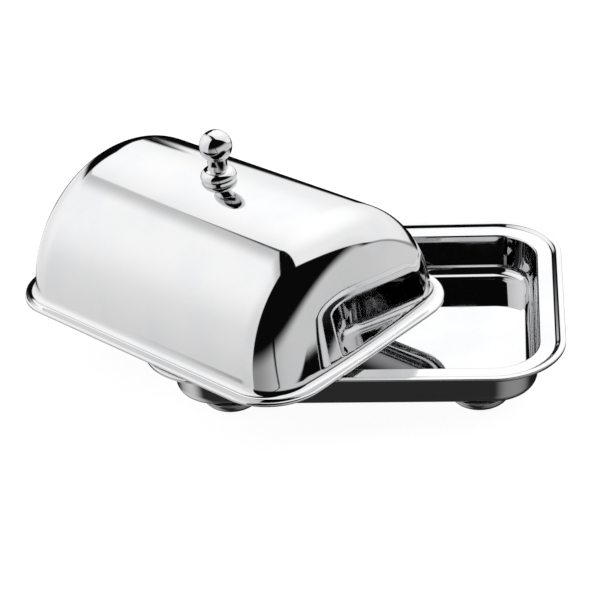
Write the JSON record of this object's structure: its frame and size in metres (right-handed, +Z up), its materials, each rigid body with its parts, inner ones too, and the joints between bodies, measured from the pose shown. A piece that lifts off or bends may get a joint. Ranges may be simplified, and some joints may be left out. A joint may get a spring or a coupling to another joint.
{
  "type": "butter dish",
  "caption": "Deep stainless steel butter tray on domed button feet, with a barrel-topped lid that lifts off by a turned ball knob.",
  "frame": {"origin": "under the middle of the open dish's plan, on the plane the feet stand on", "axes": "+X runs along the tray's long side and the dish's longest extent, +Y towards the tray's back, +Z up, the dish's shortest extent; the lid stands open, turned 36.5 degrees about +Z against the tray"},
  "size_m": [0.2228, 0.1664, 0.1003],
  "materials": {
    "tray_steel": "mirror-polished stainless steel sheet",
    "lid_steel": "mirror-polished stainless steel sheet",
    "knob_steel": "mirror-polished turned stainless steel",
    "foot_steel": "polished stainless steel buttons",
    "fastener_steel": "bright machined stainless steel"
  },
  "bodies": {
    "tray": {"tray": "tray_steel", "foot_front_left": "foot_steel", "foot_front_right": "foot_steel", "foot_back_left": "foot_steel", "foot_back_right": "foot_steel"},
    "lid": {"lid_shell": "lid_steel", "knob": "knob_steel", "knob_washer": "fastener_steel", "knob_screw": "fastener_steel"}
  },
  "joints": [
    {"name": "lid_lift", "type": "slide", "parent": "tray", "child": "lid", "axis": [0, 0, 1], "range_m": [0, 0.11]}
  ]
}
